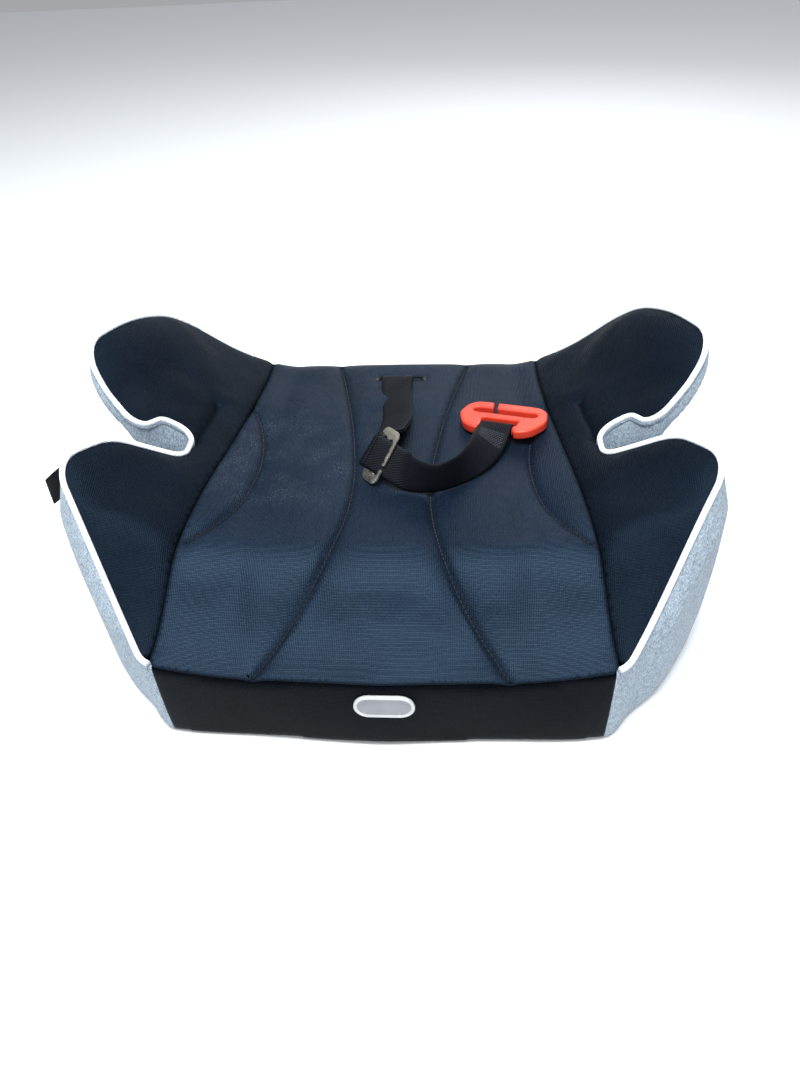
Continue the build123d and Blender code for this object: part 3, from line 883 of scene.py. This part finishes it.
block = wall_block()
swell_walls(block)
cuts = [((x, 0, 0), (1, 0, 0)) for x in (FRONT_X, -FRONT_X, REAR_X, -REAR_X)]
front_panel = cut_piece(block, "front_panel", cuts, in_front, WALL_KNIT, "cover_black", "cover_front_panel")
cut_piece(block, "rear_panel", cuts, in_rear, WALL_KNIT, "cover_black", "cover_rear_panel")
for side, sign in (("right", 1), ("left", -1)):
    cut_piece(block, "band_" + side, cuts, lambda c: on_side(c, sign), GREY_HEATHER,
              "band_grey", "side_band_" + side)
bpy.data.objects.remove(block)


# ---- piping ---------------------------------------------------------------------------------
def tube(name, path, radius, material, sides=10):
    """A round tube along a line of 3-D points."""
    path = np.array(path, float)
    run = np.gradient(path, axis=0)
    run /= np.linalg.norm(run, axis=1, keepdims=True)
    side = np.cross(run, (0, 0, 1.0))
    side /= np.maximum(np.linalg.norm(side, axis=1, keepdims=True), 1e-6)
    up = np.cross(side, run)
    points = []
    for place, a, b in zip(path, side, up):
        for k in range(sides):
            turn = 2 * math.pi * k / sides
            points.append(place + radius * (math.cos(turn) * a + math.sin(turn) * b))
    faces = ring_faces(len(path), sides)
    faces.append(tuple(range(sides)))
    faces.append(tuple(range(len(path) * sides - 1, (len(path) - 1) * sides - 1, -1)))
    return make_object(name, points, faces, material)


def piping_path():
    half = flare(resample(rounded(LOBE + HORN + REAR), 2.0))
    keep = ((half[:, 1] < 0) & (half[:, 0] > FRONT_X)) | ((half[:, 1] > 0) & (half[:, 0] > REAR_X))
    keep |= half[:, 0] > FRONT_X + 1
    line = half[keep]
    line = line + side_normals(line) * PIPING_OUT
    height = seat_z(line[:, 0], line[:, 1]) - PIPING_SINK
    return np.column_stack([line, height])


for side, sign in (("right", 1), ("left", -1)):
    path = piping_path() * np.array((sign, 1.0, 1.0))
    piping = tube("piping_cord_" + side, path, PIPING_RADIUS, WHITE_PIPING)
    belong(piping, "seat", "piping_white", "piping_" + side)
    roll_path = path - np.array((0.0, 0.0, ROLL_DROP))
    belong(tube("band_roll_" + side, roll_path, ROLL_RADIUS, GREY_HEATHER), "seat", "band_grey")


# ---- badge, tag and buttonhole --------------------------------------------------------------
def slot_ring(length, height, count=72):
    """Points of a lying stadium outline, counter-clockwise."""
    radius = height / 2
    reach = length / 2 - radius
    out = []
    for k in range(count):
        turn = 2 * math.pi * (k + 0.5) / count - math.pi / 2
        out.append((math.copysign(reach, math.cos(turn)) + radius * math.cos(turn),
                    radius * math.sin(turn)))
    return resample(np.array(out), 1.5, closed=True)


def front_wall_y(x, z):
    """Y of the front panel's own surface, found by a ray from the front."""
    hit, place = front_panel.ray_cast(Vector((x, -400, z)) * MM, Vector((0, 1, 0)))[:2]
    return place.y / MM if hit else -176.5


BADGE_SIZE = (37.0, 19.0)
BADGE_CENTRE = (2.0, 41.5)


def laid(line, lift=0.0):
    """A line in plan laid on the seat panel's own surface."""
    return [(x, y, surface_z(x, y) + lift) for x, y in line]


def make_stitching():
    """Lockstitch along the quilting lines."""
    for number, line in enumerate(inner_quilting[:4]):
        thread = stitches("quilting_%d" % number, laid(line, 0.15), 2.4, 1.0, 0.24, THREAD)
        belong(thread, "seat", "cover_black")


def make_badge():
    """A moulded oval plate with a raised rim, pressed on to the front panel."""
    wall = front_wall_y(*BADGE_CENTRE)
    count = 96
    rings = []
    # each ring of the plate's section: how far inside its outline, and how far out from the wall
    section = ((0.0, -0.6), (0.0, 1.1), (0.5, 1.6), (1.5, 1.6), (2.1, 0.9), (2.6, 0.8), (5.5, 0.95))
    for shrink, out in section:
        ring = slot_ring(BADGE_SIZE[0] - 2 * shrink, BADGE_SIZE[1] - 2 * shrink)
        ring = resample(ring, 1.0, closed=True)
        turns = np.linspace(0, len(ring), count, endpoint=False).astype(int)
        rings.append([(BADGE_CENTRE[0] + ring[k][0], wall - out, BADGE_CENTRE[1] + ring[k][1])
                      for k in turns])
    points = [p for ring in rings for p in ring]
    faces = ring_faces(len(rings), count)
    last = (len(rings) - 1) * count
    points.append((BADGE_CENTRE[0], wall - 1.05, BADGE_CENTRE[1]))
    faces += [(last + k, last + (k + 1) % count, len(points) - 1) for k in range(count)]
    faces.append(tuple(range(count - 1, -1, -1)))
    plate = make_object("badge_plate", points, faces, BADGE_RIM)
    plate.data.materials.append(BADGE_GREY)
    for polygon in plate.data.polygons[4 * count:]:
        polygon.material_index = 1
    belong(plate, "seat", "badge_grey", "badge")


def make_tag():
    """A folded woven tag sewn into the side seam of the left lobe."""
    root = np.array((-207.5, -62.0, 128.0))
    out = np.array((-0.80, -0.10, -0.59))
    wide = np.array((0.36, -0.62, -0.70))
    up = np.cross(out, wide)
    points = []
    rows, columns = 14, 10
    for i in range(rows + 1):
        for j in range(columns + 1):
            u = -3.0 + 22.0 * i / rows
            v = -8.5 + 17.0 * j / columns
            bow = 1.4 * math.sin(math.pi * i / rows) * math.sin(0.4 + math.pi * j / columns)
            points.append(tuple(root + u * out + v * wide + bow * up))
    faces = []
    for i in range(rows):
        for j in range(columns):
            a = i * (columns + 1) + j
            faces.append((a, a + 1, a + columns + 2, a + columns + 1))
    tag = make_object("tag", points, faces, BLACK_TAPE)
    solidify(tag, 1.4, 0.0)
    round_edges(tag, 0.35)
    belong(tag, "seat", "label_black", "side_label")


def round_edges(thing, width, segments=2):
    bevel = thing.modifiers.new("edges", "BEVEL")
    bevel.width = width * MM
    bevel.segments = segments
    bevel.limit_method = "ANGLE"
    apply_modifiers(thing)
    shade_smooth(thing)


def surface_z(x, y):
    """Height of the seat panel's own surface, found by a ray from above."""
    hit, place = seat_panel.ray_cast(Vector((x, y, 300)) * MM, Vector((0, 0, -1)))[:2]
    return place.z / MM if hit else float(seat_z(x, y))


def stitches(name, path, length, gap, radius, material):
    """Separate stitches along a path, each a short thread that dips into the cloth at both ends."""
    path = np.array(path, float)
    runs = np.r_[0.0, np.cumsum(np.linalg.norm(np.diff(path, axis=0), axis=1))]
    points, faces = [], []
    start = gap
    while start + length < runs[-1]:
        places = np.linspace(start, start + length, 5)
        line = np.stack([np.interp(places, runs, path[:, k]) for k in range(3)], axis=1)
        line[:, 2] += radius * np.array((-1.2, 0.3, 0.7, 0.3, -1.2))
        run = line[-1] - line[0]
        side = np.cross(run / np.linalg.norm(run), (0, 0, 1.0))
        side /= max(np.linalg.norm(side), 1e-6)
        up = np.cross(side, run / np.linalg.norm(run))
        first = len(points)
        for place in line:
            for k in range(6):
                turn = math.pi * k / 3
                points.append(place + radius * (math.cos(turn) * side + math.sin(turn) * up))
        faces += ring_faces(len(line), 6, first)
        faces.append(tuple(first + k for k in range(6)))
        faces.append(tuple(first + 29 - k for k in range(6)))
        start += length + gap
    return make_object(name, points, faces, material)


def make_buttonhole():
    """The slit's welt: a flat rolled edge, and a bar tack at each end."""
    points = []
    ring = slot_ring(SLOT_LENGTH + 4.5, 7.0, 64)
    ring = resample(ring, 1.2, closed=True)
    normals = side_normals(ring, closed=True)
    sides = 8
    for k, (x, y) in enumerate(ring):
        place = np.array((SLOT_X + x, SLOT_Y + y))
        level = surface_z(*place) + 0.3
        for j in range(sides):
            turn = 2 * math.pi * j / sides
            out = place + normals[k] * 1.3 * math.cos(turn)
            points.append((out[0], out[1], level + 0.7 * math.sin(turn)))
    faces = [(f[0],) + f[:0:-1] for f in ring_faces(len(ring), sides, wrap=True)]
    welt = make_object("slot_welt", points, faces, BLACK_TAPE)
    belong(welt, "seat", "binding_black", "slot_binding")
    for end in (-1, 1):
        rows = []
        for k in range(7):
            x = SLOT_X + end * (SLOT_LENGTH / 2 + 1.2) + end * k * 0.45
            level = surface_z(x, SLOT_Y) + 1.1
            rows.append([(x, SLOT_Y - 3.0, level - 0.8), (x, SLOT_Y, level),
                         (x, SLOT_Y + 3.0, level - 0.8)])
        tack = join_tubes("slot_tack_" + ("left" if end < 0 else "right"), rows, 0.28, THREAD)
        belong(tack, "seat", "binding_black")


def join_tubes(name, lines, radius, material, sides=6):
    """Several thin round threads as one object."""
    parts = [tube("part", line, radius, material, sides) for line in lines]
    points, faces = [], []
    for part in parts:
        first = len(points)
        points.extend(tuple(v.co / MM) for v in part.data.vertices)
        faces.extend(tuple(i + first for i in p.vertices) for p in part.data.polygons)
        drop(part)
    return make_object(name, points, faces, material)


# ---- guide strap ----------------------------------------------------------------------------
SLIDER_POINT = np.array((-8.0, -18.0, 112.4))
THREAD_RUN = np.array((0.8282, -0.5197, -0.2095))
ACROSS = np.array((0.475, 0.4525, 0.755))
THREAD_UP = np.cross(THREAD_RUN, ACROSS)
THREAD_BACK = -7.0
THREAD_FRONT = 16.0
SLIDER_TILT = 30.0
SLIDER_OFFSET = 2.12
SLIDER_LENGTH = 40.0
SLIDER_WIDTH = 18.5
SLIDER_BAR = 2.8
SLIDER_HALF_HEIGHT = 0.75

CLIP_POINT = np.array((79.0, 40.5, 102.1))
CLIP_ALONG = np.array((0.926, -0.368, 0.088)) / np.linalg.norm((0.926, -0.368, 0.088))
CLIP_BACK = np.array((0.37, 0.93, 0.0)) / np.linalg.norm((0.37, 0.93, 0.0))
CLIP_UP = np.cross(CLIP_ALONG, CLIP_BACK)
CLIP_BACK = np.cross(CLIP_UP, CLIP_ALONG)
CLIP_UP = CLIP_UP / np.linalg.norm(CLIP_UP)
CLIP_BACK = CLIP_BACK / np.linalg.norm(CLIP_BACK)
CLIP_LENGTH = 68.0
CLIP_DEPTH = 36.0
CLIP_HALF_HEIGHT = 3.35
BOW_V = -12.5
BOW_RADIUS = 3.5
EYE_TOP = BOW_RADIUS + 0.1 + PLY / 2

SLOT_TOP = float(seat_z(0.0, SLOT_Y))
STRAP_LEFT = STRAP_X - WEBBING / 2
STRAP_RIGHT = STRAP_X + WEBBING / 2


def on_thread(run, across, up=0.0):
    return tuple(SLIDER_POINT + run * THREAD_RUN + across * ACROSS + up * THREAD_UP)


def on_clip(along, back, up=0.0):
    return tuple(CLIP_POINT + along * CLIP_ALONG + back * CLIP_BACK + up * CLIP_UP)


LOOP_LOW = [
    (-14.5, 94, 95.0),
    (-12.5, 70, 96.0),
    (-11, 50, 96.8),
    (-12.5, 26, 98.6),
    (-16, 1, 101.2),
    on_thread(THREAD_BACK, -WEBBING / 2),
]
LOOP_HIGH = [
    (9.7, 92, 96.5),
    (11, 66, 99.5),
    (12, 44, 103.5),
    (9, 21, 110.5),
    (1.5, 3, 118.0),
    on_thread(THREAD_BACK, WEBBING / 2),
]
TAIL_LOW = [
    on_thread(THREAD_FRONT, -WEBBING / 2),
    (8, -36.5, 96.8),
    (18, -38.5, 96.0),
    (30, -38, 96.0),
    (45, -32, 96.0),
    (58, -22.5, 96.2),
    (71, -8, 97.4),
    (79.3, 7, 100.5),
    on_clip(WEBBING / 2, BOW_V, EYE_TOP),
]
TAIL_HIGH = [
    on_thread(THREAD_FRONT, WEBBING / 2),
    (17, -30, 119.0),
    (22, -36, 120.2),
    (30, -39.5, 120.6),
    (39.5, -35.5, 120.2),
    (47.7, -23, 118.2),
    (53.5, -3, 114.0),
    (57.5, 14.5, 110.6),
    on_clip(-WEBBING / 2, BOW_V, EYE_TOP),
]


def cubic_line(points, start_run, end_run, count):
    """A smooth cubic spline through the points, with given directions at its ends."""
    p = np.array(points, float)
    gaps = np.linalg.norm(np.diff(p, axis=0), axis=1)
    n = len(p)
    system = np.zeros((n, n))
    right = np.zeros((n, 3))
    system[0, 0] = system[-1, -1] = 1.0
    right[0] = np.array(start_run, float) / np.linalg.norm(start_run)
    right[-1] = np.array(end_run, float) / np.linalg.norm(end_run)
    for i in range(1, n - 1):
        a, b = gaps[i - 1], gaps[i]
        system[i, i - 1] = b
        system[i, i] = 2 * (a + b)
        system[i, i + 1] = a
        right[i] = 3 * (b * (p[i] - p[i - 1]) / a + a * (p[i + 1] - p[i]) / b)
    slopes = np.linalg.solve(system, right)
    knots = np.r_[0.0, np.cumsum(gaps)]
    out = []
    for place in np.linspace(0, knots[-1], count):
        i = min(int(np.searchsorted(knots, place, side="right")) - 1, n - 2)
        h = gaps[i]
        t = (place - knots[i]) / h
        out.append((2 * t ** 3 - 3 * t ** 2 + 1) * p[i] + (t ** 3 - 2 * t ** 2 + t) * h * slopes[i]
                   + (-2 * t ** 3 + 3 * t ** 2) * p[i + 1] + (t ** 3 - t ** 2) * h * slopes[i + 1])
    return np.array(out)


def webbing(name, low, high, thickness, shift):
    """One layer of webbing between two edge lines, shifted along its own normal."""
    across = 12
    rows = len(low)
    share = np.linspace(0, 1, across + 1)[None, :, None]
    grid = low[:, None, :] + share * (high - low)[:, None, :]
    run = np.gradient(grid, axis=0)
    wide = np.gradient(grid, axis=1)
    normal = np.cross(run, wide)
    normal /= np.maximum(np.linalg.norm(normal, axis=2, keepdims=True), 1e-9)
    edge = np.linspace(-1, 1, across + 1)
    # the selvages are a little thinner than the middle, and rounded
    half = thickness / 2 * np.sqrt(np.clip(1.0 - np.abs(edge) ** 10, 0.08, 1.0))
    top = grid + normal * (shift + half[None, :, None])
    bottom = grid + normal * (shift - half[None, :, None])
    points = np.vstack([top.reshape(-1, 3), bottom.reshape(-1, 3)])
    count = rows * (across + 1)
    faces = []
    for i in range(rows - 1):
        for j in range(across):
            a = i * (across + 1) + j
            b = a + across + 1
            faces.append((a, a + 1, b + 1, b))
            faces.append((a + count, b + count, b + 1 + count, a + 1 + count))
        for j, flipit in ((0, False), (across, True)):
            a = i * (across + 1) + j
            b = a + across + 1
            quad = (a, b, b + count, a + count)
            faces.append(quad[::-1] if flipit else quad)
    for i, flipit in ((0, True), (rows - 1, False)):
        for j in range(across):
            a = i * (across + 1) + j
            quad = (a, a + 1, a + 1 + count, a + count)
            faces.append(quad[::-1] if flipit else quad)
    thing = make_object(name, points, faces, BLACK_WEBBING)
    middle = (low + high) / 2
    along = np.r_[0.0, np.cumsum(np.linalg.norm(np.diff(middle, axis=0), axis=1))] * MM
    uv = thing.data.uv_layers.new(name="webbing")
    place_u = np.repeat(along, across + 1)
    place_v = np.tile(np.linspace(0, WEBBING, across + 1) * MM, rows)
    for loop in thing.data.loops:
        k = loop.vertex_index % count
        uv.data[loop.index].uv = (place_u[k], place_v[k])
    return thing


def make_guide_strap():
    """Two layers come out of the buttonhole and run to the slider, one goes on to the clip."""
    edges = []
    for x, rise, route, start_run in ((STRAP_LEFT, 3.4, LOOP_LOW, (0.12, -1, 0.0)),
                                      (STRAP_RIGHT, 3.6, LOOP_HIGH, (0.08, -1, 0.02))):
        bend = [(x, SLOT_Y, SLOT_TOP - 22), (x, SLOT_Y - 0.1, SLOT_TOP - 2),
                (x, SLOT_Y - 3.5, SLOT_TOP + rise), route[0]]
        edges.append(np.vstack([cubic_line(bend, (0, 0, 1), start_run, 40)[:-1],
                                cubic_line(route, start_run, THREAD_RUN, 110)]))
    low, high = edges
    layers = []
    for name, shift in (("strap_loop_upper", PLY / 2 + 0.06), ("strap_loop_lower", -PLY / 2 - 0.06)):
        layers.append(webbing(name, low, high, PLY - 0.1, shift))
    tail_low = cubic_line(TAIL_LOW, THREAD_RUN, CLIP_BACK, 130)
    tail_high = cubic_line(TAIL_HIGH, THREAD_RUN, CLIP_BACK, 130)
    threaded = np.linspace(THREAD_BACK - 1, THREAD_FRONT, 16)[:-1]
    inside_low = [on_thread(u, -WEBBING / 2) for u in threaded]
    inside_high = [on_thread(u, WEBBING / 2) for u in threaded]
    eye_low, eye_high = [], []
    for turn in np.linspace(math.pi / 2, math.pi / 2 - 1.86 * math.pi, 45)[1:]:
        v, w = BOW_V + EYE_TOP * math.cos(turn), EYE_TOP * math.sin(turn)
        eye_low.append(on_clip(WEBBING / 2, v, w))
        eye_high.append(on_clip(-WEBBING / 2, v, w))
    edge_low = np.vstack([inside_low, tail_low, eye_low])
    edge_high = np.vstack([inside_high, tail_high, eye_high])
    tail = webbing("strap_tail_layer", edge_low, edge_high, PLY, 0.0)
    return layers, tail, (low + high) / 2, (edge_low, edge_high), (tail_low, tail_high)


def outward(thing):
    """Makes every face of a closed mesh look outwards."""
    work = bmesh.new()
    work.from_mesh(thing.data)
    bmesh.ops.recalc_face_normals(work, faces=work.faces[:])
    work.to_mesh(thing.data)
    work.free()


def make_slider():
    """Three-bar slider: a frame with a middle bar, its front bar cut to slip webbing in."""
    tilt = math.radians(SLIDER_TILT)
    middle = SLIDER_POINT - SLIDER_OFFSET * THREAD_UP
    along = math.cos(tilt) * THREAD_RUN + math.sin(tilt) * THREAD_UP
    normal = -math.sin(tilt) * THREAD_RUN + math.cos(tilt) * THREAD_UP

    reach = SLIDER_WIDTH / 2
    corner = [(0, -SLIDER_LENGTH / 2, 0), (reach, -SLIDER_LENGTH / 2, 5), (reach, 0, 0)]
    quarter = resample(rounded(corner, 0.6), 0.9)[:-1]
    half = np.vstack([quarter, [(reach, 0)], (quarter * np.array((1, -1)))[::-1]])
    slider = flat_prism("slider_frame", mirrored_loop(half), -SLIDER_HALF_HEIGHT, SLIDER_HALF_HEIGHT, 2.5)
    window = (SLIDER_WIDTH - 3 * SLIDER_BAR) / 2
    for sign in (-1, 1):
        # the window lies along the bar, so its X and Y change places
        room = slot_ring(WEBBING + 2.4, window)[:, ::-1][::-1]
        room = room + np.array((sign * (SLIDER_BAR + window) / 2, 0.0))
        boolean(slider, flat_prism("window", room, -3, 3, 2.5), "DIFFERENCE")
    gap = np.array([(reach - SLIDER_BAR - 0.6, -8.1), (reach + 1, -8.1), (reach + 1, -4.9),
                    (reach - SLIDER_BAR - 0.6, -4.9)])
    boolean(slider, flat_prism("gap", resample(gap, 1.0, closed=True), -3, 3, 2.5), "DIFFERENCE")
    round_edges(slider, 0.4)
    turn = Matrix((Vector(along), Vector(ACROSS), Vector(normal))).transposed().to_4x4()
    slider.data.transform(Matrix.Translation(Vector(middle) * MM) @ turn)
    dress(slider, PALE_NICKEL)
    outward(slider)
    belong(slider, "slider", "slider_metal", "strap_slider")
    return slider


def boolean(thing, tool, operation):
    cut = thing.modifiers.new("cut", "BOOLEAN")
    cut.object = tool
    cut.operation = operation
    cut.solver = "EXACT"
    apply_modifiers(thing)
    drop(tool)


def flat_prism(name, loop, low, high, spacing=4.0):
    points, faces = closed_prism(np.array(loop, float), lambda x, y: low + 0 * x,
                                 lambda x, y: high + 0 * x, spacing)
    thing = make_object(name, points, faces)
    outward(thing)
    return thing


def make_bow(rows=30, sides=16):
    """The bow, a round bar along the clip, its points crowded towards the section's diagonals."""
    points = []
    for u in np.linspace(-17, 17, rows):
        for k in range(sides):
            turn = 2 * math.pi * (k + 0.5) / sides
            v, w = math.cos(turn), math.sin(turn)
            v, w = -math.copysign(abs(v) ** 0.5, v), math.copysign(abs(w) ** 0.5, w)
            size = BOW_RADIUS / math.hypot(v, w)
            points.append((u, BOW_V + v * size, w * size))
    faces = ring_faces(rows, sides)
    faces.append(tuple(range(sides)))
    faces.append(tuple(range(rows * sides - 1, (rows - 1) * sides - 1, -1)))
    return make_object("bow", points, faces)


def make_clip():
    """The belt clip: a moulded D whose rear bar is split, with a round bow for the webbing."""
    half_length, half_depth = CLIP_LENGTH / 2, CLIP_DEPTH / 2
    right = [(0, -half_depth, 0), (half_length * 0.72, -half_depth, 17), (half_length, 0, 13),
             (half_length - 4, half_depth, 12), (0, half_depth, 0)]
    outline = mirrored_loop(resample(rounded(right, 1.0), 1.5))
    body = flat_prism("clip_body", outline, -CLIP_HALF_HEIGHT, CLIP_HALF_HEIGHT)
    boolean(body, flat_prism("belt_room", slot_ring(50, 6.7) + np.array((0, 6.4)), -9, 9), "DIFFERENCE")
    front = [(-13.9, -24), (13.9, -24), (13.9, -3.6), (13.0, -2.9), (-13.0, -2.9), (-13.9, -3.6)]
    boolean(body, flat_prism("strap_room", resample(np.array(front), 1.5, closed=True), -9, 9), "DIFFERENCE")
    slant = math.radians(12)
    gap = []
    for u, v in ((-1.5, -7), (1.5, -7), (1.5, 7), (-1.5, 7)):
        gap.append((-10 + u * math.cos(slant) - v * math.sin(slant),
                    15 + u * math.sin(slant) + v * math.cos(slant)))
    boolean(body, flat_prism("split", resample(np.array(gap), 1.5, closed=True), -9, 9), "DIFFERENCE")
    bow = make_bow()
    outward(bow)
    boolean(body, bow, "UNION")
    remesh = body.modifiers.new("remesh", "REMESH")
    remesh.mode = "VOXEL"
    remesh.voxel_size = 0.75 * MM
    apply_modifiers(body)
    relax(body, 7, 0.6)
    for u in (-19, 16):
        pin = flat_prism("pin", slot_ring(2.02, 2.0, 24) * 0.9 + np.array((u, 1.0)), -9, 9, 2.0)
        boolean(body, pin, "DIFFERENCE")
    turn = Matrix((Vector(CLIP_ALONG), Vector(CLIP_BACK), Vector(CLIP_UP))).transposed().to_4x4()
    body.data.transform(Matrix.Translation(Vector(CLIP_POINT) * MM) @ turn)
    dress(body, CLIP_RED)
    shade_smooth(body)
    belong(body, "clip", "clip_red", "belt_clip")
    return body


def make_hem():
    """The elastic hem turned under the hull, gathered by its elastic."""
    rings = []
    loop = resample(base_loop, 2.0, closed=True)
    normals = side_normals(loop, closed=True)
    phase = np.arange(len(loop)) * 2.0
    gathers = 0.28 * np.sin(phase * 0.9) + 0.2 * np.sin(phase * 0.37 + 1.0)
    # the band's section: how far inside the skirt, and how high
    profile = [(8.6, 1.6), (8.4, 0.9), (9.2, 0.35), (11, 0.3), (14, 0.4), (18.5, 0.35), (19.8, 1.0),
               (19.3, 2.1), (15, 2.35), (11, 2.35), (9.0, 2.3)]
    for inward, z in profile:
        level = z + gathers * (0.35 if z < 1.5 else 0.0) * (z > 0.32)
        level = np.maximum(level, 0.05)
        rings.append(np.column_stack([loop + normals * (SKIRT - inward), level]))
    faces = ring_faces(len(rings), len(loop), wrap=True)
    hem = make_object("hem_band", np.vstack(rings), faces, BLACK_TAPE)
    outward(hem)
    belong(hem, "seat", "elastic_black", "hem_elastic")


def make_tacks(edge_low, edge_high):
    """Rows of stitching across the webbing that close its eye round the clip's bow."""
    lines = []
    for row in range(8):
        at = 118 - row * 2
        a, b = edge_low[at], edge_high[at]
        run = edge_low[at + 1] - edge_low[at]
        normal = np.cross(run, b - a)
        normal /= np.linalg.norm(normal)
        for share in np.arange(0.14 + 0.03 * (row % 2), 0.84, 0.075):
            start = a + share * (b - a)
            end = a + (share + 0.045) * (b - a)
            lines.append([start + normal * 0.55, (start + end) / 2 + normal * 0.95,
                          end + normal * 0.55])
    thing = join_tubes("clip_stitching", lines, 0.3, GREY_THREAD)
    belong(thing, "strap", "webbing_black")
    return thing


def finish_frame_nodes():
    """Better materials for the CAD nodes whose own shape is shown."""
    looks = {"hull": HULL_BLACK, "hem_hooks": HOOK_BLACK, "strap_anchor_bar": STEEL}
    for name, material in looks.items():
        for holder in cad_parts[name].material_slots:
            holder.link = "OBJECT"
            holder.material = material


def make_floor():
    reach, pitch = 20, 150.0
    count = 2 * reach + 1
    points = [((i - reach) * pitch, (j - reach) * pitch, -0.05) for i in range(count) for j in range(count)]
    corners = [i * count + j for i in range(count - 1) for j in range(count - 1)]
    faces = [(a, a + count, a + count + 1, a + 1) for a in corners]
    s = Shader("studio_floor")
    s.base(Base_Color=(0.93, 0.95, 0.97, 1.0), Roughness=0.9, Specular_IOR_Level=0.1)
    floor = make_object("floor", points, faces, s.material)


make_stitching()
make_badge()
make_tag()
make_buttonhole()
slider = make_slider()
clip = make_clip()
make_hem()
layers, tail, loop_middle, tail_edges, stitched = make_guide_strap()
for layer in layers:
    outward(layer)
    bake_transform(layer)
    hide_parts("strap_loop", "strap_root")
outward(tail)
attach(tail, "strap")
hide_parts("strap_tail")
tacks = make_tacks(*stitched)
finish_frame_nodes()
make_floor()
